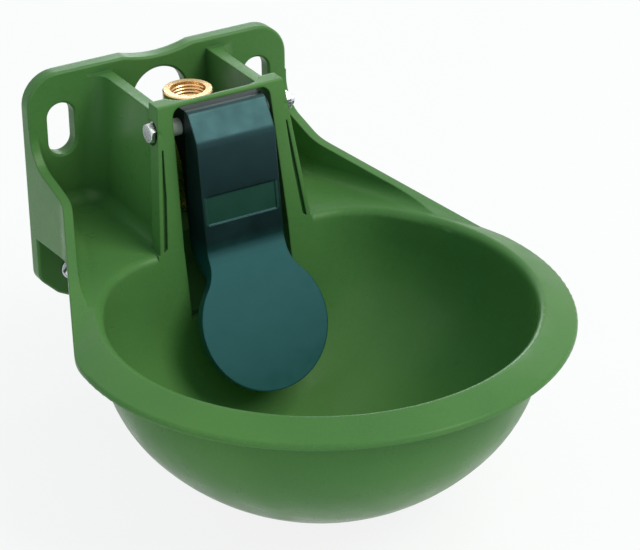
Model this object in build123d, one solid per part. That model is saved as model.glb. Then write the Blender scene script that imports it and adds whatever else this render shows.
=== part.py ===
from build123d import *
import math
import os

os.makedirs("parts", exist_ok=True)

# Livestock drinking bowl with a tongue paddle valve. Millimetres, +Z up.
# The wall is the plane y = 0 and the animal stands on the -Y side. The origin
# is on the wall, midway between the centres of the two upper fixing slots.

# ---- back plate ----
plate_width = 153.0
plate_top = 31.8
plate_bottom = -103.0
plate_thick = 8.0
top_corner = 18.0
lug_drop = 84.0
lug_cut = 10.5
lug_round = 8.0
foot_run = 16.0
scallop_width = 40.0
scallop_depth = 3.0
slot_offset = 58.0
slot_width = 15.5
slot_height = 29.0
centre_hole_radius = 16.0
centre_hole_rise = 5.8
lower_hole_drop = 81.0
lower_hole = 6.6
plate_edge = 1.0

# ---- rim and bowl ----
rim_width = 19.5
rim_slope = 0.40
rim_thick = 4.0
rim_edge = 2.8
rim_round = 1.5
bowl_radius = 106.0
bowl_wall = 3.5
bowl_straight = 15.0
bowl_depth = 102.0
bowl_corner = 70.0
opening_round = 4.5
deck_level = -43.0
deck_thick = 5.0
back_flat = 20.8
back_corner = 45.0

# ---- side walls and skirt ----
side_wall = 5.0
flare_start = 44.0
flare_round = 30.0
shoulder_angle = 9.0
shoulder_round = 60.0
ridge_start = -14.4
ridge_slope = 0.255
ridge_round = 18.0
skirt_rear = 17.0
pocket_round = 7.0

# ---- paddle housing ----
front_y = -81.6
front_lean = 0.167
web_level = 26.5
web_inner = 28.0
web_outer = 34.5
web_draft_in = 0.036
web_draft_out = 0.055
bridge_top = 32.0
bridge_thick = 2.0
bridge_back = -74.0
bridge_front_round = 2.0
well_corner = 12.0
recess_corner = 5.0
recess_back = -60.0
channel_depth = 21.0
channel_drop = 36.0
channel_wall = 3.5
gusset_thick = 4.0
web_root_round = 10.0
stile_proud = 1.6
stile_draft = 0.107
stile_depth = 9.0
groove_width = 2.0
groove_depth = 1.8
groove_edge = 2.3

# ---- paddle pivot ----
pivot_y = -72.0
pivot_z = 17.5
bolt_dia = 6.0
bolt_flats = 10.0
bolt_head = 4.0
hexagon_turn = 25.0
nut_height = 5.0
bolt_end = 2.8
bolt_hole_gap = 0.2
washer_radius = 5.75
washer_thick = 0.8
washer_gap = 0.2
spot_depth = 0.4
spot_gap = 0.6
bush_wall = 1.4
bush_flange = 1.4
bush_run_gap = 0.06
bush_fit_gap = 0.02
bush_end_gap = 0.3

# ---- paddle ----
paddle_half = 22.3
paddle_wall = 3.0
barrel_gap = 1.8
brow_y = -82.0
brow_round = 3.0
cheek_y = -91.7
cheek_z = 13.8
cheek_round = 10.0
bend_y = -98.5
bend_z = -44.0
bend_round = 14.0
disc_lean = 28.0
disc_reach = 41.1
disc_radius = 35.5
disc_depth = 6.0
neck_fillet = 20.0
skirt_depth = 18.0
panel_top = -14.0
panel_height = 15.0
panel_border = 2.5
panel_depth = 0.7
pad_radius = 5.0
pad_rib = 2.5
disc_rib = 2.5

# ---- valve body ----
inlet_y = -40.0
inlet_top = 21.5
inlet_outer = 13.2
inlet_bore = 9.3
waist_radius = 12.0
waist_top = 6.0
shoulder_radius = 14.0
shoulder_height = 4.0
tail_radius = 10.4
tail_drop = 21.0
tail_hole_gap = 0.3
tail_bore = 7.6
chamber_bore = 8.0
chamber_drop = 14.0
valve_axis = -10.0
branch_radius = 11.0
branch_front = -66.0
gland_bore = 8.4
gland_bore_back = -56.0
throat_bore = 6.5
thread_gap = 0.1
edge_break = 0.6

# ---- seat, guide and stem ----
seat_spigot_gap = 0.2
seat_back = -61.5
orifice_radius = 3.2
nozzle_wall = 1.0
nozzle_rise = 0.8
gasket_thick = 1.5
guide_front = -73.0
guide_flats = 19.0
guide_cavity = 5.6
guide_wall = 4.0
outlet_radius = 1.3
outlet_circle = 4.4
outlet_count = 4
stem_radius = 2.0
stem_spigot = 1.4
stem_run_gap = 0.08
stem_tip_y = -80.4
stem_tip_gap = 0.3
rubber_radius = 5.6
rubber_thick = 2.4
rubber_gap = 0.05
disc_nut_radius = 4.6
disc_nut_flange = 0.8
disc_nut_flats = 5.0
disc_nut_height = 2.6

# ---- return spring ----
spring_wire = 0.9
spring_radius = 3.6
spring_turns = 6.0
spring_sides = 8
spring_gap = 0.1
spring_pocket_radius = 5.0
spring_pocket_depth = 1.4

# ---- inlet strainer ----
strainer_level = 4.5
strainer_flange = 1.2
strainer_seat = 9.0
strainer_radius = 7.2
strainer_height = 7.0
strainer_wall = 0.8
strainer_hole = 1.0
strainer_ring = 4.2
strainer_count = 6

# ---- tail fastening ----
lock_nut_flats = 27.0
lock_nut_height = 6.0
deck_washer_thick = 1.5
deck_washer_radius = 14.5
plug_length = 8.0
plug_flats = 22.0
plug_head = 6.0
plug_seal_thick = 1.5

# ---- lower fixing screws ----
screw_dia = 6.0
screw_flats = 10.0
screw_head = 4.0
screw_washer_radius = 6.0
screw_washer_thick = 1.6
screw_end = 0.6

X_DIR = Vector(1, 0, 0)
Y_DIR = Vector(0, 1, 0)
Z_DIR = Vector(0, 0, 1)
rim_radius = bowl_radius + rim_width
bowl_centre = front_y + front_lean * deck_level + back_flat - bowl_radius
bush_outer = bolt_dia / 2 + bush_run_gap + bush_wall
barrel_radius = bridge_top - bridge_thick - barrel_gap - pivot_z
far = 400.0


def front_face_y(z):
    """Y of the housing front and the bowl's back wall at height z."""
    return front_y + front_lean * z


def web_in(z):
    return web_inner + web_draft_in * (web_level - z)


def web_out(z):
    return web_outer + web_draft_out * (web_level - z)


def stile_out(z):
    return web_outer + stile_proud + stile_draft * (bridge_top - z)


def spot_x():
    """X of the flat seat that the pivot washers lie on."""
    return web_out(pivot_z) + spot_depth


def cylinder_x(radius, x0, x1, y=pivot_y, z=pivot_z):
    plane = Plane(origin=(x0, y, z), x_dir=Y_DIR, z_dir=X_DIR)
    return extrude(plane * Circle(radius), x1 - x0)


def cylinder_y(radius, y0, y1, x=0.0, z=valve_axis):
    """Cylinder from y0 forward to y1, with y1 the smaller."""
    plane = Plane(origin=(x, y0, z), x_dir=X_DIR, z_dir=-Y_DIR)
    return extrude(plane * Circle(radius), y0 - y1)


def cylinder_z(radius, z0, z1, x=0.0, y=inlet_y):
    plane = Plane(origin=(x, y, z0), x_dir=X_DIR, z_dir=Z_DIR)
    return extrude(plane * Circle(radius), z1 - z0)


def hex_nut(flats, height, plane, turn=0):
    """Hexagon prism, turned about its axis, with its corners turned off at the far face."""
    prism = extrude(plane * RegularPolygon(flats / 2, 6, major_radius=False, rotation=turn), height)
    upward = (Align.CENTER, Align.CENTER, Align.MIN)
    cone = Cone(flats / 2 + height, flats * 0.475, height + 0.001, align=upward)
    return prism & (plane * cone)


def side_prism(sketch, half):
    """Extrudes a Y-Z sketch across the width, to x = -half and x = half."""
    return extrude(Plane.YZ * sketch, half, both=True)


def front_prism(sketch, y0, y1):
    """Extrudes an X-Z sketch from y0 forward to y1."""
    return extrude(Plane.XZ.offset(-y0) * sketch, y0 - y1)


def polygon(*points):
    return make_face(Polyline(*points, close=True).edges())


def corners_at(sketch, x, y):
    return [v for v in sketch.vertices() if abs(v.X - x) < 0.01 and abs(v.Y - y) < 0.01]


def mirrored(solid):
    return solid + mirror(solid, Plane.YZ)


# ---------------------------------------------------------------- bowl body


def plate_holes():
    """Wall slots, lower screw holes and centre hole; all but the screw holes flare at the front."""
    slot = Pos(slot_offset, 0) * SlotOverall(slot_height, slot_width, rotation=90)
    centre = Pos(0, centre_hole_rise) * Circle(centre_hole_radius)
    openings = slot + mirror(slot, Plane.YZ) + centre
    flare = Plane.XZ.offset(plate_thick - plate_edge) * openings
    holes = front_prism(openings, 1, -plate_thick) + extrude(flare, 2 * plate_edge, taper=-45)
    return holes + mirrored(
        cylinder_y(lower_hole / 2, 1, -plate_thick - 1, slot_offset, -lower_hole_drop)
    )


def back_plate():
    half = plate_width / 2
    foot = half - lug_cut - foot_run
    outline = polygon(
        (-half, plate_top),
        (half, plate_top),
        (half, -lug_drop),
        (half - lug_cut, -lug_drop - lug_cut),
        (foot, plate_bottom),
        (-foot, plate_bottom),
        (lug_cut - half, -lug_drop - lug_cut),
        (-half, -lug_drop),
    )
    outline = fillet(outline.vertices().sort_by(Axis.Y)[-2:], top_corner)
    outline = fillet(outline.vertices().sort_by(Axis.Y)[:6], lug_round)
    dip_radius = ((scallop_width / 2) ** 2 + scallop_depth**2) / (2 * scallop_depth)
    outline -= Pos(0, plate_top + dip_radius - scallop_depth) * Circle(dip_radius)
    plate = front_prism(outline, 0, -plate_thick)
    return chamfer(plate.faces().sort_by(Axis.Y)[0].edges(), plate_edge)


def rim_meeting():
    """Point where the flared side of the tray meets the round rim, on the +X side."""
    angle = math.radians(shoulder_angle)
    return rim_radius * math.cos(angle), bowl_centre + rim_radius * math.sin(angle)


def tray_outline():
    """Plan of the deck, side walls and rim: straight sides, flares and a round front."""
    half = plate_width / 2
    meet_x, meet_y = rim_meeting()
    front = ThreePointArc((meet_x, meet_y), (0, bowl_centre - rim_radius), (-meet_x, meet_y))
    sides = Polyline(
        (-meet_x, meet_y),
        (-half, -flare_start),
        (-half, 0),
        (half, 0),
        (half, -flare_start),
        (meet_x, meet_y),
    )
    outline = make_face([*front.edges(), *sides.edges()])
    outline = fillet([v for v in outline.vertices() if abs(v.Y + flare_start) < 0.01], flare_round)
    return fillet([v for v in outline.vertices() if abs(v.Y - meet_y) < 0.01], shoulder_round)


def rim_levels():
    """Heights of the rim's outer edge, top and underside."""
    top = deck_level - rim_slope * (rim_width - opening_round)
    return top, top - rim_edge


def tray_side():
    """Side view of the tray: the wall tops slope from the plate down to the rim."""
    under = rim_levels()[1]
    tip_y = -plate_thick + (under - ridge_start) / ridge_slope
    side = polygon(
        (0, deck_level - skirt_rear),
        (0, ridge_start + ridge_round),
        (-plate_thick, ridge_start + ridge_round),
        (-plate_thick, ridge_start),
        (tip_y, under),
        (front_face_y(deck_level) - 30, under),
    )
    return fillet(corners_at(side, -plate_thick, ridge_start), ridge_round)


def behind_plate_front(plan, z0, z1):
    """Extrudes a plan from z0 to z1 and keeps what lies in front of the plate."""
    solid = extrude(Pos(0, 0, z0) * plan, z1 - z0)
    return solid & Pos(0, -plate_thick - far / 2, (z0 + z1) / 2) * Box(2 * far, far, 2 * (z1 - z0))


def pocket_void():
    """Space above the deck between the side walls, plate and housing, with rounded foot."""
    inner = offset(tray_outline(), -side_wall, kind=Kind.INTERSECTION)
    void = behind_plate_front(inner, deck_level, deck_level + 120)
    block = drafted(web_out, deck_level - 5, deck_level + 125, 0, front_face_y(deck_level) - 20)
    front = polygon(
        (5, deck_level - 5),
        (5, deck_level + 125),
        (front_face_y(deck_level + 125), deck_level + 125),
        (front_face_y(deck_level - 5), deck_level - 5),
    )
    void -= block & side_prism(front, far / 4)

    def is_upright(edge):
        middle = edge.center()
        return abs(middle.Y + plate_thick) < 1.5 and edge.bounding_box().size.Z > 60

    def is_foot(edge):
        middle = edge.center()
        return abs(middle.Z - deck_level) < 0.01 and middle.Y > front_face_y(deck_level) + 0.5

    upright = [e for e in void.edges() if is_upright(e) and abs(e.center().X) < web_outer + 5]
    void = fillet(upright, web_root_round)
    return fillet([e for e in void.edges() if is_foot(e)], pocket_round)


def tray():
    """Deck with its side walls and skirt, and the roots of the housing webs."""
    walls = extrude(Pos(0, 0, deck_level - 40) * tray_outline(), 120)
    solid = walls & side_prism(tray_side(), far / 2)
    root = Pos(0, -web_root_round - plate_thick / 2, (deck_level + web_level) / 2) * Box(
        2 * (web_out(deck_level) + web_root_round + 1),
        2 * web_root_round + plate_thick,
        web_level - deck_level,
    )
    solid += root & Pos(0, -far / 2, 0) * Box(far, far, far)
    inner = offset(tray_outline(), -side_wall, kind=Kind.INTERSECTION)
    under = behind_plate_front(inner, deck_level - 45, deck_level - deck_thick)
    return solid - pocket_void() - under


def in_front_of(y):
    return Pos(0, y - far / 2, 0) * Box(2 * far, far, far)


def rim():
    """Sloped rim about the bowl's axis, with a thickened outer edge."""
    inner = bowl_radius - 1
    shoulder = bowl_radius + opening_round
    edge_top, under = rim_levels()
    section = polygon(
        (inner, deck_level),
        (shoulder, deck_level),
        (rim_radius, edge_top),
        (rim_radius, under),
        (rim_radius - rim_thick, under),
        (bowl_radius + bowl_wall, deck_level - deck_thick),
        (inner, deck_level - deck_thick),
    )
    section = fillet(corners_at(section, rim_radius, edge_top), rim_round)
    section = fillet(corners_at(section, rim_radius, under), edge_break)
    ring = Pos(0, bowl_centre, 0) * revolve(Plane.XZ * section, Axis.Z)
    ring &= in_front_of(front_face_y(deck_level) + bowl_wall)
    return ring & extrude(Pos(0, 0, deck_level - 40) * tray_outline(), 80)


def bowl_round(radius, top, bottom, corner):
    """Solid of revolution: straight wall, corner arc and a flatter arc across the bottom."""
    turn = deck_level - bowl_straight
    reach = radius - corner
    depth = turn - bottom
    floor_radius = (reach**2 + depth**2 - corner**2) / (2 * (depth - corner))
    toward = Vector(reach, turn - bottom - floor_radius).normalized()
    touch = Vector(0, bottom + floor_radius) + toward * floor_radius
    angle = math.atan2(touch.Y - turn, touch.X - reach) / 2
    middle = (reach + corner * math.cos(angle), turn + corner * math.sin(angle))
    low = Vector(0, bottom + floor_radius) + (toward + Vector(0, -1)).normalized() * floor_radius
    straight = Polyline((0, bottom), (0, top), (radius, top), (radius, turn))
    wall = ThreePointArc((radius, turn), middle, (touch.X, touch.Y))
    floor = ThreePointArc((touch.X, touch.Y), (low.X, low.Y), (0, bottom))
    section = make_face([*straight.edges(), *wall.edges(), *floor.edges()])
    return Pos(0, bowl_centre, 0) * revolve(Plane.XZ * section, Axis.Z)


def bowl_solid(shift, top):
    """The bowl's inside up to top, or its outside at shift from it, with the leaning flat back."""
    bottom = deck_level - bowl_depth - shift
    solid = bowl_round(bowl_radius + shift, top, bottom, bowl_corner + shift)
    front = polygon(
        (front_face_y(top) + shift, top),
        (front_face_y(bottom) + shift, bottom),
        (-far, bottom),
        (-far, top),
    )
    solid &= side_prism(front, far / 2)
    flat = solid.faces().filter_by(GeomType.PLANE).sort_by(Axis.Y)[-1]
    return fillet(flat.edges().sort_by(Axis.Z)[:-1], back_corner + shift)


def bowl_cut():
    """The bowl's inside, with the edge of its opening rounded over except at the housing."""
    void = bowl_solid(0, deck_level + opening_round)
    slab = Pos(0, bowl_centre, deck_level - opening_round) * Box(far, far, 2 * opening_round) - void
    edges = [e for e in slab.edges() if abs(e.bounding_box().min.Z - deck_level) < 0.01]
    edges = [e for e in edges if abs(e.center().X) < rim_radius and e.bounding_box().size.X < far - 1]
    mouth = Pos(0, bowl_centre, deck_level - opening_round / 2) * Box(
        2 * rim_radius, 2 * rim_radius, opening_round
    )
    mouth -= fillet(edges, opening_round)
    reach = stile_out(deck_level) + 1
    housing = Pos(0, front_face_y(deck_level), deck_level) * Box(2 * reach, 40, 40)
    return void + (mouth - housing)


def drafted(half_at, low, high, y0, y1):
    """Prism between y0 and y1 whose half width at each height comes from half_at."""
    section = polygon(
        (-half_at(low), low),
        (half_at(low), low),
        (half_at(high), high),
        (-half_at(high), high),
    )
    return front_prism(section, y0, y1)


def housing_outer():
    """Two upright webs, filled between, with the arched bridge over the paddle."""
    top_y = front_face_y(bridge_top)
    low = deck_level - deck_thick
    rise = bridge_top - web_level
    side = polygon(
        (0, low),
        (0, web_level),
        (bridge_back + 2 * rise, web_level),
        (bridge_back, bridge_top),
        (top_y, bridge_top),
        (front_face_y(low), low),
    )
    side = fillet(corners_at(side, top_y, bridge_top), bridge_front_round)
    return drafted(web_out, low - 5, bridge_top + 5, 0, top_y - 40) & side_prism(side, 60)


def stiles():
    """Flanges that widen the front of the webs, with a groove along each outer edge."""
    low = deck_level - deck_thick / 2
    top_y = front_face_y(bridge_top)
    side = polygon(
        (top_y, bridge_top),
        (top_y + stile_depth, bridge_top),
        (front_face_y(low) + stile_depth, low),
        (front_face_y(low), low),
    )
    side = fillet(corners_at(side, top_y, bridge_top), bridge_front_round - 1.2)
    solid = drafted(stile_out, low - 5, bridge_top + 5, 0, top_y - 40) & side_prism(side, 60)
    groove_top = pivot_z - washer_radius - spot_gap - 1
    groove_line = polygon(
        (stile_out(groove_top) - groove_edge - groove_width, groove_top),
        (stile_out(groove_top) - groove_edge, groove_top),
        (stile_out(low) - groove_edge, low),
        (stile_out(low) - groove_edge - groove_width, low),
    )
    band = side_prism(
        polygon(
            (front_face_y(groove_top) - 2, groove_top),
            (front_face_y(groove_top) + groove_depth, groove_top),
            (front_face_y(low) + groove_depth, low),
            (front_face_y(low) - 2, low),
        ),
        60,
    )
    return solid - mirrored(front_prism(groove_line, 0, 2 * front_y) & band)


def channel_box(gap):
    """Channel behind the paddle, below the deck; gap 0 is its inside."""
    low = deck_level - channel_drop - gap
    high = deck_level + 1
    rear = front_face_y(high) + channel_depth + gap
    side = polygon(
        (front_face_y(low) - 3 * (1 - gap), low - 2),
        (front_face_y(low) + channel_depth * 0.4 + gap, low),
        (rear, low + channel_depth * 0.8),
        (rear, high),
        (front_face_y(high) - 3, high),
    )
    return side_prism(side, web_in(high) + gap)


def housing_void():
    """Well behind the paddle, open at the top, and the recess that the paddle swings in."""
    well = Pos(0, (bridge_back - plate_thick) / 2) * Rectangle(2 * web_inner, -bridge_back - plate_thick)
    well = fillet(well.vertices().sort_by(Axis.Y)[:2], well_corner)
    void = extrude(Pos(0, 0, deck_level) * well, 100)
    ceiling = bridge_top - bridge_thick
    recess = drafted(web_in, deck_level - channel_drop, ceiling, recess_back, 2 * front_y)
    top_edges = [e for e in recess.edges() if e.center().Z > ceiling - 0.1 and abs(e.center().X) > 5]
    recess = fillet(top_edges, recess_corner)
    rear = front_face_y(deck_level) + channel_depth
    limit = polygon(
        (recess_back, 60),
        (-140, 60),
        (-140, deck_level - 1),
        (rear, deck_level - 1),
        (recess_back, deck_level),
    )
    return void + (recess & side_prism(limit, 60))


def gussets():
    """Ribs from the plate to the channel, under the deck."""
    side = polygon(
        (-plate_thick / 2, deck_level - 1),
        (-plate_thick / 2, plate_bottom + 6),
        (-plate_thick - 2, plate_bottom + 6),
        (front_face_y(deck_level) + 2, deck_level - channel_drop),
        (front_face_y(deck_level), deck_level - 1),
    )
    offset_x = web_in(deck_level) + channel_wall - gusset_thick / 2
    return mirrored(Pos(offset_x, 0, 0) * side_prism(side, gusset_thick / 2))


def pivot_cuts():
    """Bolt holes through the webs and the flat seats for the pivot washers."""
    reach = plate_width / 2
    hole = cylinder_x(bolt_dia / 2 + bolt_hole_gap, -reach, reach)
    seat = cylinder_x(washer_radius + spot_gap, spot_x(), reach)
    return hole + mirrored(seat)


def bowl_body():
    body = tray() + rim() + bowl_solid(bowl_wall, deck_level - rim_thick)
    body += back_plate()
    body += housing_outer() + stiles() + channel_box(channel_wall) + gussets()
    body -= bowl_cut()
    body -= housing_void()
    body -= channel_box(0)
    body -= plate_holes() + pivot_cuts()
    return body - cylinder_z(tail_radius + tail_hole_gap, deck_level - tail_drop, deck_level + 1)


# ---------------------------------------------------------------- paddle


def disc_plane():
    lean = math.radians(disc_lean)
    return Plane(
        origin=(0, bend_y, bend_z), x_dir=(1, 0, 0), z_dir=(0, -math.cos(lean), math.sin(lean))
    )


def paddle_side(inward):
    """Side profile of the barrel, cheek and neck; inward gives the hollow, open at the back."""
    lean = math.radians(disc_lean)
    end = Vector(0, bend_y, bend_z) + Vector(0, -math.sin(lean), -math.cos(lean)) * (disc_reach * 0.62)
    top = pivot_z + barrel_radius
    back = 2 * skirt_depth if inward else 0
    side = polygon(
        (pivot_y + back, top),
        (brow_y, top),
        (cheek_y, cheek_z),
        (bend_y, bend_z),
        (end.Y, end.Z),
        (end.Y + disc_depth + back, end.Z),
        (bend_y + skirt_depth + back, bend_z - 4),
        (cheek_y + skirt_depth + back, cheek_z - 16),
        (pivot_y + barrel_radius + back, pivot_z),
        (pivot_y + back, pivot_z),
    )
    side = fillet(corners_at(side, brow_y, top), brow_round)
    side = fillet(corners_at(side, cheek_y, cheek_z), cheek_round)
    side = fillet(corners_at(side, bend_y, bend_z), bend_round)
    if inward:
        return offset(side, -inward, kind=Kind.INTERSECTION)
    return side + Pos(pivot_y, pivot_z) * Circle(barrel_radius)


def disc_sketch(inset):
    neck = Pos(0, -disc_reach / 2) * Rectangle(2 * paddle_half, disc_reach)
    sketch = neck + Pos(0, -disc_reach) * Circle(disc_radius)
    notch = [
        v for v in sketch.vertices() if abs(abs(v.X) - paddle_half) < 0.01 and -disc_reach < v.Y < -1
    ]
    sketch = fillet(notch, neck_fillet)
    if inset:
        sketch = offset(sketch, -inset, kind=Kind.INTERSECTION)
    return sketch


def paddle_front_y(z):
    """Y of the flat front of the paddle's neck at height z."""
    share = (cheek_z - z) / (cheek_z - bend_z)
    return cheek_y + (bend_y - cheek_y) * share


def paddle_panel():
    """Shallow bare recess across the neck."""
    low = panel_top - panel_height
    side = polygon(
        (paddle_front_y(panel_top) - 5, panel_top),
        (paddle_front_y(panel_top) + panel_depth, panel_top),
        (paddle_front_y(low) + panel_depth, low),
        (paddle_front_y(low) - 5, low),
    )
    return side_prism(side, paddle_half - panel_border)


def paddle_pad():
    """Boss that meets the valve stem, with a cross rib that ties it to the sides."""
    front = paddle_front_y(valve_axis) + paddle_wall / 2
    face = stem_tip_y - stem_tip_gap
    boss = cylinder_y(pad_radius, face, front)
    rib = Pos(0, (front + face - 2) / 2, valve_axis) * Box(
        2 * paddle_half - paddle_wall, face - 2 - front, pad_rib
    )
    return boss + rib


def disc_ribs():
    """Three stiffening ribs on the back of the disc."""
    plane = disc_plane()
    upright = Pos(0, -disc_reach) * Rectangle(disc_rib, 2 * disc_radius - paddle_wall)
    cross = Pos(0, -disc_reach) * Rectangle(2 * disc_radius - paddle_wall, disc_rib)
    ribs = extrude(plane * (upright + cross), -(disc_depth - 1))
    return ribs - side_prism(paddle_side(0), paddle_half - paddle_wall)


def paddle():
    plane = disc_plane()
    solid = side_prism(paddle_side(0), paddle_half) + extrude(plane * disc_sketch(0), -disc_depth)
    solid -= side_prism(paddle_side(paddle_wall), paddle_half - paddle_wall)
    hollow = extrude(plane.offset(-paddle_wall) * disc_sketch(paddle_wall), -disc_depth)
    below_neck = Pos(0, 0, bend_z - 8 - far / 2) * Box(far, far * 2, far)
    solid -= hollow & below_neck
    solid += disc_ribs() + paddle_pad()
    solid -= paddle_panel()
    return solid - cylinder_x(bush_outer + bush_fit_gap, -60, 60)


# ---------------------------------------------------------------- pivot


def pivot_bolt():
    seat = -spot_x() - washer_thick
    end = spot_x() + washer_thick + nut_height + bolt_end
    plane = Plane(origin=(seat, pivot_y, pivot_z), x_dir=Y_DIR, z_dir=-X_DIR)
    shank = cylinder_x(bolt_dia / 2, seat, end)
    shank = chamfer(shank.edges().sort_by(Axis.X)[-1], edge_break)
    return shank + hex_nut(bolt_flats, bolt_head, plane, hexagon_turn)


def pivot_nut():
    seat = spot_x() + washer_thick
    plane = Plane(origin=(seat, pivot_y, pivot_z), x_dir=Y_DIR, z_dir=X_DIR)
    nut = hex_nut(bolt_flats, nut_height, plane, -hexagon_turn)
    return nut - cylinder_x(bolt_dia / 2, 0, plate_width / 2)


def pivot_washers():
    ring = cylinder_x(washer_radius, spot_x(), spot_x() + washer_thick)
    return mirrored(ring - cylinder_x(bolt_dia / 2 + washer_gap, 0, plate_width / 2))


def pivot_bushes():
    """Flanged bushes pressed into the paddle's ears, reaching out to the webs."""
    flange_face = paddle_half - paddle_wall
    end = web_in(pivot_z) - bush_end_gap
    bush = cylinder_x(bush_outer, flange_face - bush_flange, end)
    bush += cylinder_x(bush_outer + bush_flange, flange_face - bush_flange, flange_face)
    return mirrored(bush - cylinder_x(bolt_dia / 2 + bush_run_gap, 0, plate_width / 2))


# ---------------------------------------------------------------- valve


def valve_body():
    tail_end = deck_level - tail_drop
    ledge = strainer_level - strainer_flange
    body = cylinder_z(waist_radius, deck_level, waist_top + 1)
    body += cylinder_z(inlet_outer, waist_top, inlet_top)
    body += cylinder_z(shoulder_radius, deck_level, deck_level + shoulder_height)
    body += cylinder_z(tail_radius, tail_end, deck_level)
    body += cylinder_y(branch_radius, inlet_y, branch_front)
    rims = [e for e in body.edges() if e.geom_type == GeomType.CIRCLE]
    rims = [e for e in rims if e.center().Z > inlet_top - 0.01 or e.center().Z < tail_end + 0.01]
    body = chamfer(rims, edge_break)
    body -= cylinder_z(inlet_bore, strainer_level, inlet_top + 1)
    body -= cylinder_z(strainer_seat, ledge, inlet_top)
    body -= cylinder_z(chamber_bore, valve_axis - chamber_drop, ledge + 1)
    body -= cylinder_z(tail_bore, tail_end - 1, valve_axis)
    body -= cylinder_y(throat_bore, inlet_y, branch_front)
    body -= cylinder_y(gland_bore, gland_bore_back, branch_front - 1)
    rear = inlet_y + chamber_bore
    body -= cylinder_y(spring_pocket_radius, rear + spring_pocket_depth, inlet_y)
    return body


def inlet_strainer():
    """Flanged sieve cup that hangs in the inlet bore."""
    top = strainer_level
    bottom = top - strainer_height
    cup = cylinder_z(strainer_radius, bottom, top)
    cup += cylinder_z(strainer_seat - thread_gap, top - strainer_flange, top)
    cup -= cylinder_z(strainer_radius - strainer_wall, bottom + strainer_wall, top + 1)
    holes = Circle(strainer_hole) + PolarLocations(strainer_ring, strainer_count) * Circle(
        strainer_hole
    )
    return cup - extrude(Pos(0, inlet_y, bottom - 1) * holes, strainer_wall + 2)


def valve_seat():
    """Screwed seat with a raised nozzle that the rubber disc closes on."""
    face = gland_bore_back
    seat = cylinder_y(gland_bore - thread_gap, face - gasket_thick, seat_back)
    seat += cylinder_y(throat_bore - seat_spigot_gap, face, face - gasket_thick)
    seat += cylinder_y(orifice_radius + nozzle_wall, face + nozzle_rise, face)
    return seat - cylinder_y(orifice_radius, face + 5, seat_back - 1)


def seat_gasket():
    ring = cylinder_y(gland_bore - thread_gap, gland_bore_back, gland_bore_back - gasket_thick)
    return ring - cylinder_y(throat_bore, gland_bore_back + 1, gland_bore_back - 5)


def stem_guide():
    """Gland nut with the stem's bore and a ring of outlet holes."""
    plane = Plane(origin=(0, branch_front, valve_axis), x_dir=X_DIR, z_dir=-Y_DIR)
    guide = cylinder_y(gland_bore - thread_gap, seat_back, branch_front)
    guide += hex_nut(guide_flats, branch_front - guide_front, plane)
    guide -= cylinder_y(guide_cavity, seat_back + 1, guide_front + guide_wall)
    guide -= cylinder_y(stem_radius + stem_run_gap, seat_back, guide_front - 1)
    outlets = Sketch() + PolarLocations(outlet_circle, outlet_count) * Circle(outlet_radius)
    return guide - extrude(plane * outlets, 20)


def valve_stem():
    shoulder = gland_bore_back + nozzle_rise + rubber_gap
    end = shoulder + rubber_thick + disc_nut_height + 0.6
    stem = cylinder_y(stem_radius, shoulder, stem_tip_y)
    stem = chamfer(stem.edges().sort_by(Axis.Y)[0], edge_break)
    return stem + cylinder_y(stem_spigot, end, shoulder - 1)


def valve_disc():
    face = gland_bore_back + nozzle_rise + rubber_gap
    return cylinder_y(rubber_radius, face + rubber_thick, face) - cylinder_y(stem_spigot, 0, -70)


def disc_nut():
    """Flanged nut that holds the rubber disc on the stem and carries the spring."""
    seat = gland_bore_back + nozzle_rise + rubber_gap + rubber_thick
    nut = cylinder_y(disc_nut_radius, seat + disc_nut_flange, seat)
    plane = Plane(origin=(0, seat, valve_axis), x_dir=X_DIR, z_dir=Y_DIR)
    nut += hex_nut(disc_nut_flats, disc_nut_height, plane)
    return nut - cylinder_y(stem_spigot, 0, -70)


def return_spring():
    low = gland_bore_back + nozzle_rise + rubber_gap + rubber_thick + disc_nut_flange
    high = inlet_y + chamber_bore + spring_pocket_depth
    start = low + spring_wire / 2 + spring_gap
    length = high - low - spring_wire - 2 * spring_gap
    helix = Helix(pitch=length / spring_turns, height=length, radius=spring_radius)
    count = round(spring_turns * spring_sides)
    path = Polyline(*[helix @ (i / count) for i in range(count + 1)])
    section = Plane(origin=path @ 0, z_dir=path % 0) * RegularPolygon(spring_wire / 2, 6)
    coil = sweep(section, path=path, transition=Transition.RIGHT)
    return Plane(origin=(0, start, valve_axis), x_dir=X_DIR, z_dir=Y_DIR) * coil


def deck_washer():
    top = deck_level - deck_thick
    ring = cylinder_z(deck_washer_radius, top - deck_washer_thick, top)
    return ring - cylinder_z(tail_radius + tail_hole_gap, -90, 0)


def lock_nut():
    top = deck_level - deck_thick - deck_washer_thick
    plane = Plane(origin=(0, inlet_y, top), x_dir=X_DIR, z_dir=-Z_DIR)
    return hex_nut(lock_nut_flats, lock_nut_height, plane) - cylinder_z(tail_radius, -90, 0)


def drain_plug():
    tail_end = deck_level - tail_drop
    plane = Plane(origin=(0, inlet_y, tail_end - plug_seal_thick), x_dir=X_DIR, z_dir=-Z_DIR)
    return hex_nut(plug_flats, plug_head, plane) + cylinder_z(
        tail_bore - thread_gap, tail_end - plug_seal_thick, tail_end + plug_length
    )


def plug_seal():
    tail_end = deck_level - tail_drop
    return cylinder_z(tail_radius, tail_end - plug_seal_thick, tail_end) - cylinder_z(tail_bore, -90, 0)


# ---------------------------------------------------------------- lower screws


def lower_washers():
    face = -plate_thick
    ring = cylinder_y(screw_washer_radius, face, face - screw_washer_thick, slot_offset, -lower_hole_drop)
    return mirrored(ring - cylinder_y(lower_hole / 2, 0, 2 * face, slot_offset, -lower_hole_drop))


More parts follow.
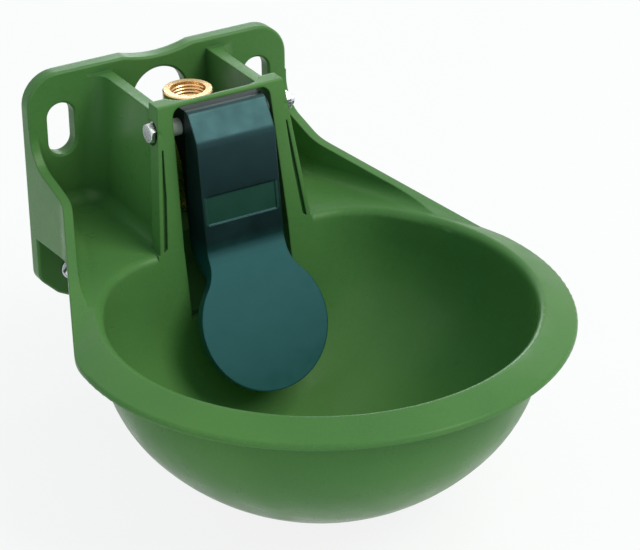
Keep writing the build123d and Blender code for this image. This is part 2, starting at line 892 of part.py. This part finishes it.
def lower_screws():
    seat = -plate_thick - screw_washer_thick
    plane = Plane(origin=(slot_offset, seat, -lower_hole_drop), x_dir=X_DIR, z_dir=-Y_DIR)
    shank = cylinder_y(screw_dia / 2, -screw_end, seat, slot_offset, -lower_hole_drop)
    return mirrored(shank + hex_nut(screw_flats, screw_head, plane))


PIECES = [
    bowl_body,
    paddle,
    pivot_bushes,
    pivot_bolt,
    pivot_nut,
    pivot_washers,
    valve_body,
    inlet_strainer,
    valve_seat,
    seat_gasket,
    stem_guide,
    valve_stem,
    valve_disc,
    disc_nut,
    return_spring,
    deck_washer,
    lock_nut,
    drain_plug,
    plug_seal,
    lower_washers,
    lower_screws,
]


def main():
    for piece in PIECES:
        solids = piece().solids()
        shape = solids[0] if len(solids) == 1 else Compound(children=list(solids))
        export_step(shape, f"parts/{piece.__name__}.step")


if __name__ == "__main__":
    main()
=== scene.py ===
import bpy
import math
from mathutils import Matrix, Vector


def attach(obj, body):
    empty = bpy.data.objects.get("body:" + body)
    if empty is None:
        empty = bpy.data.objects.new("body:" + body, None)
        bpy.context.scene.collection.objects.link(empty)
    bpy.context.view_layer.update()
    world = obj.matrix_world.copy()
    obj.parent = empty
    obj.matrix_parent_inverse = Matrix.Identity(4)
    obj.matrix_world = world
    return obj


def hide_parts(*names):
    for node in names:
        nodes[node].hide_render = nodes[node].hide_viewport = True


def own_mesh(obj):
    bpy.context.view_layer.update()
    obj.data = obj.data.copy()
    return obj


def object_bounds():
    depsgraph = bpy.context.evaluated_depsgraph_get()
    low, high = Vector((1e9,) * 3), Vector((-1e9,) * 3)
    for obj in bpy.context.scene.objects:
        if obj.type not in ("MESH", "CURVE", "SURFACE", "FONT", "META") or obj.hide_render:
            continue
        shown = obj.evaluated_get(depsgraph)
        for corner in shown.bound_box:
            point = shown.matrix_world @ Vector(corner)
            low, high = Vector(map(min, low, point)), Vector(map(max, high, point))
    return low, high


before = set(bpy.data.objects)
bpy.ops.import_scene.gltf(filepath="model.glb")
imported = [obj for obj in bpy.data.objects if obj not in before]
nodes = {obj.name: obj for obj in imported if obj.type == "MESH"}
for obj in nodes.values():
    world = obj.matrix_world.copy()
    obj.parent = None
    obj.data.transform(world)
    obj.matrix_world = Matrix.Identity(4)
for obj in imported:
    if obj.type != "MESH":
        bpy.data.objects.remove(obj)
cad_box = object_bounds()
scene = bpy.context.scene

# ---- camera, in metres and degrees, its lens and sensor in millimetres ----
CAMERA_PLACE = Vector((-0.5517, -1.1265, 0.5461))
CAMERA_TARGET = Vector((0.04269, -0.100, -0.07274))
CAMERA_ROLL = -0.85
CAMERA_LENS = 143.6
CAMERA_SENSOR = 36.0
CAMERA_REACH = 50.0

# ---- studio, in metres; colours are linear throughout ----
LAMPS_AIM = Vector((0, -0.15, -0.05))
FLOOR_DROP = 0.0004
FLOOR_HALF = 6.0
PAPER_GLOW = 0.86
PAPER_DIM = (0.90, 0.90, 0.90, 1)
PAPER_PALE = (0.94, 0.94, 0.94, 1)
WHITE = (1, 1, 1, 1)
AMBIENT = 0.50
SKY_TINT = (0.68, 1.0, 0.96, 1)

# ---- inlet thread, G1/2, in metres, its flank as a share of the pitch ----
INLET_Y = -0.040
THREAD_TOP = 0.0195
THREAD_PITCH = 0.00181
THREAD_FLANK = 0.42
THREAD_TURNS = 6.5
THREAD_SIDES = 48
THREAD_ROOT = 0.00945
THREAD_CREST = 0.00890

# ---- rounding of sharp edges in the mesh, in metres and degrees ----
CASTING_ROUND = 0.0012
PADDLE_ROUND = 0.0011
BRASS_ROUND = 0.0004
FASTENER_ROUND = 0.0003
WELD_GAP = 0.00002
SHARP_ANGLE = 32

# ---- rounding of edges in the shading, in metres, and the rays that look for edges and corners ----
ENAMEL_EDGE = 0.0013
PADDLE_EDGE = 0.0010
EDGE_RAYS = 6

# ---- turning rings of the metals, as a scale ----
RING_SCALE = 1500

# ---- zones of the paddle's paint, its painted reflection and its painted shade, in metres: heights, one depth and one half width ----
NECK_END = -0.038
DISC_TOP = -0.050
BARREL_FRONT = -0.0785
PANEL_TOP = -0.0140
PANEL_LOW = -0.0290
PANEL_HALF = 0.0210
FADE = 0.0003

# ---- enamel ----
GREEN_LIGHT = (0.098, 0.228, 0.058, 1)
GREEN_DEEP = (0.072, 0.186, 0.050, 1)
GREEN_SPECK = (0.125, 0.265, 0.082, 1)
# painted shade, laid into the enamel's closed corners
GREEN_CORNER_SHADE = (0.022, 0.074, 0.030, 1)
ENAMEL_SHINE = 0.12

# ---- the paddle's paint, with a painted reflection, painted shade and a tint for its reflections ----
PADDLE_BLACK = (0.004, 0.008, 0.011, 1)
PADDLE_SHEEN = (0.008, 0.019, 0.022, 1)
# painted blue-green reflection on the disc
PADDLE_DISC_REFLECTION = (0.008, 0.064, 0.064, 1)
PADDLE_PANEL = (0.014, 0.050, 0.034, 1)
# painted shade on the paddle's barrel and back
PADDLE_BARREL_SHADE = (0.003, 0.005, 0.006, 1)
# blue-green colour given to the paddle's reflections: painted colour of the reflected light
PADDLE_REFLECTION_TINT = (0.42, 0.95, 1.0, 1)
PADDLE_SHINE = 0.5
BARREL_SHINE = 0.06

# ---- metals, rubber and nylon, clean and aged; the metals' aged colours also serve as painted shade in closed corners ----
BRASS_CLEAN = (0.86, 0.62, 0.33, 1)
BRASS_TARNISH_AND_SHADE = (0.60, 0.34, 0.12, 1)
ZINC_CLEAN = (0.66, 0.67, 0.72, 1)
ZINC_TARNISH_AND_SHADE = (0.44, 0.46, 0.50, 1)
STEEL_CLEAN = (0.62, 0.62, 0.63, 1)
STEEL_TARNISH_AND_SHADE = (0.40, 0.41, 0.42, 1)
RUBBER_DARK = (0.010, 0.010, 0.011, 1)
RUBBER_DUST = (0.030, 0.029, 0.027, 1)
NYLON_CLEAN = (0.40, 0.40, 0.37, 1)
NYLON_AGED = (0.26, 0.25, 0.21, 1)

# ---- ShaderNodeMix's colour sockets, which share their names with its other sockets ----
MIX_FIRST, MIX_SECOND, MIX_RESULT = 6, 7, 2

# ---- nodes that share a finish and a rounding ----
FASTENERS = ("pivot_bolt", "pivot_nut", "pivot_washers", "lower_screws", "lower_washers")


# ---- materials ----


class Shader:
    """A material's node tree, with one call per node."""

    def __init__(self, name):
        self.material = bpy.data.materials.new(name)
        self.material.use_nodes = True
        self.tree = self.material.node_tree
        self.tree.nodes.clear()
        self.output = self.tree.nodes.new("ShaderNodeOutputMaterial")
        self.place = self.node("ShaderNodeTexCoord").outputs["Object"]

    def put(self, socket, value):
        """Sets a socket to a value, or links it to another node's output."""
        if isinstance(value, bpy.types.NodeSocket):
            self.tree.links.new(value, socket)
        else:
            socket.default_value = value

    def node(self, kind, settings=None, **sockets):
        made = self.tree.nodes.new(kind)
        for key, value in (settings or {}).items():
            setattr(made, key, value)
        for key, value in sockets.items():
            self.put(made.inputs[key.replace("_", " ")], value)
        return made

    def noise(self, scale, detail=3.0, roughness=0.5, distortion=0.0):
        made = self.node(
            "ShaderNodeTexNoise",
            Vector=self.place,
            Scale=scale,
            Detail=detail,
            Roughness=roughness,
            Distortion=distortion,
        )
        return made.outputs["Fac"]

    def ramp(self, value, low, high, start=0.0, end=1.0):
        """Start where the value is low, end where it is high, and straight between them."""
        made = self.node(
            "ShaderNodeMapRange",
            Value=value,
            From_Min=low,
            From_Max=high,
            To_Min=start,
            To_Max=end,
        )
        return made.outputs["Result"]

    def wander(self, scale, detail, start, end):
        """A value that wanders between two ends over the surface."""
        return self.ramp(self.noise(scale, detail), 0.3, 0.7, start, end)

    def corner(self, reach, closed, clear, most):
        """Most in a closed corner, and 0 where the surface is clear."""
        made = self.node("ShaderNodeAmbientOcclusion", {"samples": EDGE_RAYS}, Distance=reach)
        return self.ramp(made.outputs["AO"], closed, clear, most, 0.0)

    def mix(self, share, first, second):
        made = self.node("ShaderNodeMix", {"data_type": "RGBA"})
        self.put(made.inputs["Factor"], share)
        self.put(made.inputs[MIX_FIRST], first)
        self.put(made.inputs[MIX_SECOND], second)
        return made.outputs[MIX_RESULT]

    def math(self, operation, *values):
        made = self.node("ShaderNodeMath", {"operation": operation})
        for socket, value in zip(made.inputs, values):
            self.put(socket, value)
        return made.outputs[0]

    def axis(self, name):
        return self.node("ShaderNodeSeparateXYZ", Vector=self.place).outputs[name]

    def rounded(self, radius):
        """The surface's normal with its sharp edges rounded by a small radius."""
        return self.node("ShaderNodeBevel", {"samples": EDGE_RAYS}, Radius=radius).outputs["Normal"]

    def bump(self, height, strength, distance, below=None):
        """Relief from a height, on top of the normal below it."""
        made = self.node("ShaderNodeBump", Strength=strength, Distance=distance, Height=height)
        if below is not None:
            self.put(made.inputs["Normal"], below)
        return made.outputs["Normal"]

    def surface(self, **sockets):
        shader = self.node("ShaderNodeBsdfPrincipled", **sockets)
        self.put(self.output.inputs["Surface"], shader.outputs["BSDF"])
        return self.material


def enamel():
    """Glossy vitreous enamel over cast iron: soft waves, painted shade in closed corners, fine mottle.
    """
    look = Shader("green_enamel")
    drift = look.ramp(look.noise(9, 3), 0.35, 0.65)
    mottle = look.ramp(look.noise(850, 2, 0.6), 0.30, 0.70, 0.0, 0.22)
    colour = look.mix(drift, GREEN_DEEP, GREEN_LIGHT)
    colour = look.mix(mottle, colour, GREEN_SPECK)
    # darker green in closed corners: painted shade
    colour = look.mix(look.corner(0.016, 0.30, 0.85, 0.60), colour, GREEN_CORNER_SHADE)
    wave = look.bump(look.noise(55, 2), 0.10, 0.0012, look.rounded(ENAMEL_EDGE))
    grain = look.bump(look.noise(420, 3, 0.55), 0.12, 0.0002, wave)
    return look.surface(
        Normal=grain,
        Base_Color=colour,
        Roughness=look.wander(60, 4, 0.24, 0.38),
        Specular_IOR_Level=ENAMEL_SHINE,
        Coat_Weight=0.03,
        Coat_Roughness=0.12,
    )


def paddle_finish():
    """Dark gloss paint: a painted blue-green reflection on the disc, tinted on the panel, matt at the
    back with painted shade.
    """
    look = Shader("paddle_gloss")
    height = look.axis("Z")
    # mask of the painted reflection: none above the neck's end, most on the disc
    disc_reflection = look.ramp(height, NECK_END, DISC_TOP, 0.0, 0.9)
    below_top = look.ramp(height, PANEL_TOP - FADE, PANEL_TOP, 1.0, 0.0)
    above_low = look.ramp(height, PANEL_LOW, PANEL_LOW + FADE)
    across = look.math("ABSOLUTE", look.axis("X"))
    within = look.ramp(across, PANEL_HALF, PANEL_HALF + FADE, 1.0, 0.0)
    panel = look.math("MULTIPLY", look.math("MULTIPLY", below_top, above_low), within)
    behind = look.ramp(look.axis("Y"), BARREL_FRONT - FADE, BARREL_FRONT)
    colour = look.mix(look.ramp(look.noise(30, 4), 0.35, 0.65), PADDLE_BLACK, PADDLE_SHEEN)
    # blue-green painted reflection on the disc
    colour = look.mix(disc_reflection, colour, PADDLE_DISC_REFLECTION)
    colour = look.mix(panel, colour, PADDLE_PANEL)
    # darker barrel and back: painted shade
    colour = look.mix(behind, colour, PADDLE_BARREL_SHADE)
    wave = look.bump(look.noise(70, 2), 0.12, 0.0008, look.rounded(PADDLE_EDGE))
    grain = look.bump(look.noise(1400, 2), 0.10, 0.0002, wave)
    return look.surface(
        Normal=grain,
        Base_Color=colour,
        Roughness=look.wander(140, 4, 0.28, 0.38),
        Specular_IOR_Level=look.ramp(behind, 0, 1, PADDLE_SHINE, BARREL_SHINE),
        # reflections tinted blue-green: painted colour of the reflected light
        Specular_Tint=PADDLE_REFLECTION_TINT,
    )


def turned_metal(name, clean, tarnish_and_shade, roughness, ring_axis=None):
    """Bright metal with tarnish, painted shade in closed corners, and turning rings about one axis where
    it was turned.
    """
    look = Shader(name)
    stain = look.ramp(look.noise(75, 5, 0.6, 0.4), 0.42, 0.70, 0.0, 0.55)
    colour = look.mix(stain, clean, tarnish_and_shade)
    # darker in closed corners: painted shade
    colour = look.mix(look.corner(0.005, 0.25, 0.8, 0.85), colour, tarnish_and_shade)
    normal = look.bump(look.noise(900, 3), 0.12, 0.0002)
    if ring_axis:
        rings = look.node(
            "ShaderNodeTexWave",
            {"wave_type": "RINGS", "rings_direction": ring_axis},
            Vector=look.place,
            Scale=RING_SCALE,
            Distortion=0.6,
            Detail=2.0,
        )
        normal = look.bump(rings.outputs["Fac"], 0.10, 0.0001, normal)
    gloss = look.wander(260, 4, roughness, roughness + 0.16)
    return look.surface(Normal=normal, Base_Color=colour, Metallic=1.0, Roughness=gloss)


def soft_matt(name, first, second, roughness):
    """Rubber or plastic: two tones in soft patches and a fine grain."""
    look = Shader(name)
    colour = look.mix(look.ramp(look.noise(160, 5), 0.35, 0.7), first, second)
    gloss = look.wander(320, 3, roughness, roughness + 0.15)
    grain = look.bump(look.noise(1100, 3), 0.2, 0.0002)
    return look.surface(Normal=grain, Base_Color=colour, Roughness=gloss)


def put_finish(material, *names):
    for name in names:
        nodes[name].data.materials.clear()
        nodes[name].data.materials.append(material)


def dress_nodes():
    put_finish(enamel(), "bowl_body")
    put_finish(paddle_finish(), "paddle")
    brass = turned_metal("inlet_brass", BRASS_CLEAN, BRASS_TARNISH_AND_SHADE, 0.20, "Z")
    put_finish(brass, "valve_body", "lock_nut", "drain_plug")
    guide = turned_metal("guide_brass", BRASS_CLEAN, BRASS_TARNISH_AND_SHADE, 0.22, "Y")
    put_finish(guide, "stem_guide", "valve_seat", "disc_nut")
    put_finish(turned_metal("zinc_plate", ZINC_CLEAN, ZINC_TARNISH_AND_SHADE, 0.18, "X"), *FASTENERS)
    steel = turned_metal("stainless_wire", STEEL_CLEAN, STEEL_TARNISH_AND_SHADE, 0.22)
    put_finish(steel, "valve_stem", "return_spring", "inlet_strainer")
    rubber = soft_matt("black_rubber", RUBBER_DARK, RUBBER_DUST, 0.62)
    put_finish(rubber, "valve_disc", "seat_gasket", "plug_seal", "deck_washer")
    put_finish(soft_matt("nylon_bush", NYLON_CLEAN, NYLON_AGED, 0.42), "pivot_bushes")


# ---- shapes on top of the solids ----


def soften(name, width, segments):
    """Welds a node's facets and rounds its sharp edges by a small radius."""
    node = nodes[name]
    node.data.shade_smooth()
    weld = node.modifiers.new("weld", "WELD")
    weld.merge_threshold = WELD_GAP
    bevel = node.modifiers.new("edge_round", "BEVEL")
    bevel.width = width
    bevel.segments = segments
    bevel.limit_method = "ANGLE"
    bevel.angle_limit = math.radians(SHARP_ANGLE)
    bevel.use_clamp_overlap = True
    bevel.harden_normals = True
    normals = node.modifiers.new("normals", "WEIGHTED_NORMAL")
    normals.keep_sharp = True


def soften_nodes():
    soften("bowl_body", CASTING_ROUND, 3)
    soften("paddle", PADDLE_ROUND, 3)
    for name in ("valve_body", "stem_guide", "lock_nut", "drain_plug"):
        soften(name, BRASS_ROUND, 2)
    for name in FASTENERS:
        soften(name, FASTENER_ROUND, 2)


def add_object(name, data):
    made = bpy.data.objects.new(name, data)
    scene.collection.objects.link(made)
    return made


def inlet_thread():
    """The inlet's female thread: one ridge wound down its bore, sunk into the wall behind."""
    steps = round(THREAD_TURNS * THREAD_SIDES)
    profile = ((THREAD_ROOT, THREAD_FLANK), (THREAD_CREST, 0.0), (THREAD_ROOT, -THREAD_FLANK))
    points = []
    for step in range(steps + 1):
        angle = 2 * math.pi * step / THREAD_SIDES
        middle = THREAD_TOP - THREAD_PITCH * step / THREAD_SIDES
        for radius, rise in profile:
            x = radius * math.cos(angle)
            y = radius * math.sin(angle) + INLET_Y
            points.append((x, y, middle + rise * THREAD_PITCH))
    ring = len(profile)
    last = ring * steps
    faces = [(2, 1, 0), (last, last + 1, last + 2)]
    for start in range(0, last, ring):
        for side in range(ring):
            near, far = start + side, start + (side + 1) % ring
            faces.append((near, far, far + ring, near + ring))
    mesh = bpy.data.meshes.new("inlet_thread")
    mesh.from_pydata(points, [], faces)
    mesh.validate()
    mesh.materials.append(nodes["valve_body"].data.materials[0])
    piece = add_object("inlet_thread", mesh)
    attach(piece, "bowl")


def working_spring():
    """A copy of the return spring on the bowl's body, with the spring's own node hidden."""
    piece = add_object("working_spring", nodes["return_spring"].data.copy())
    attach(piece, "bowl")
    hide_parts("return_spring")
    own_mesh(piece)


# ---- studio ----


def aimed(place, target):
    """A placement at one point that looks at another."""
    turn = (target - place).to_track_quat("-Z", "Y").to_matrix().to_4x4()
    return Matrix.Translation(place) @ turn


def add_camera():
    data = bpy.data.cameras.new("camera")
    data.lens = CAMERA_LENS
    data.sensor_width = CAMERA_SENSOR
    data.clip_end = CAMERA_REACH
    camera = add_object("camera", data)
    roll = Matrix.Rotation(math.radians(CAMERA_ROLL), 4, "Z")
    camera.matrix_world = aimed(CAMERA_PLACE, CAMERA_TARGET) @ roll
    scene.camera = camera


def add_softbox(name, place, width, height, watts, colour):
    data = bpy.data.lights.new(name, "AREA")
    data.shape = "RECTANGLE"
    data.size = width
    data.size_y = height
    data.energy = watts
    data.color = colour
    add_object(name, data).matrix_world = aimed(Vector(place), LAMPS_AIM)


def add_lights():
    add_softbox("key", (0.95, -1.35, 2.15), 1.4, 1.4, 34, (1.0, 0.98, 0.88))
    add_softbox("front_right", (1.12, -1.85, 1.42), 1.0, 0.5, 8, (0.92, 1.0, 1.0))
    add_softbox("back_right", (1.50, 0.90, 1.45), 0.8, 0.6, 5, (0.94, 1.0, 0.98))
    add_softbox("low_back", (0.80, 1.75, 0.45), 0.6, 0.4, 4, (0.88, 1.0, 1.0))


def seen_background(tree):
    """1 for camera, glossy and transmission rays, which see the pale background."""
    path = tree.nodes.new("ShaderNodeLightPath")
    total = path.outputs["Is Camera Ray"]
    for name in ("Is Glossy Ray", "Is Transmission Ray"):
        add = tree.nodes.new("ShaderNodeMath")
        add.operation = "MAXIMUM"
        tree.links.new(total, add.inputs[0])
        tree.links.new(path.outputs[name], add.inputs[1])
        total = add.outputs[0]
    return total


def add_backdrop(tree, colour, strength):
    made = tree.nodes.new("ShaderNodeBackground")
    made.inputs["Color"].default_value = colour
    made.inputs["Strength"].default_value = strength
    return made.outputs["Background"]


def add_world():
    world = bpy.data.worlds.new("studio")
    world.use_nodes = True
    tree = world.node_tree
    tree.nodes.clear()
    output = tree.nodes.new("ShaderNodeOutputWorld")
    blend = tree.nodes.new("ShaderNodeMixShader")
    tree.links.new(seen_background(tree), blend.inputs[0])
    tree.links.new(add_backdrop(tree, SKY_TINT, AMBIENT), blend.inputs[1])
    tree.links.new(add_backdrop(tree, WHITE, 1.0), blend.inputs[2])
    tree.links.new(blend.outputs[0], output.inputs["Surface"])
    scene.world = world


def floor_paper():
    """White paper that also glows for the rays that see it as the background."""
    look = Shader("floor_paper")
    tone = look.mix(look.noise(3, 2), PAPER_DIM, PAPER_PALE)
    paper = look.node("ShaderNodeBsdfPrincipled", Base_Color=tone, Roughness=0.9, Specular_IOR_Level=0.0)
    glow = look.node("ShaderNodeEmission", Color=WHITE, Strength=1.0)
    both = look.node("ShaderNodeMixShader")
    look.put(both.inputs[0], look.math("MULTIPLY", seen_background(look.tree), PAPER_GLOW))
    look.put(both.inputs[1], paper.outputs["BSDF"])
    look.put(both.inputs[2], glow.outputs["Emission"])
    look.put(look.output.inputs["Surface"], both.outputs[0])
    return look.material


def add_floor():
    low = min(point[2] for point in cad_box) - FLOOR_DROP
    half = FLOOR_HALF
    corners = [(-half, -half, low), (half, -half, low), (half, half, low), (-half, half, low)]
    mesh = bpy.data.meshes.new("floor")
    mesh.from_pydata(corners, [], [(0, 1, 2, 3)])
    mesh.materials.append(floor_paper())
    floor = add_object("floor", mesh)


dress_nodes()
soften_nodes()
inlet_thread()
working_spring()
add_camera()
add_lights()
add_world()
add_floor()
scene.view_settings.view_transform = "Standard"
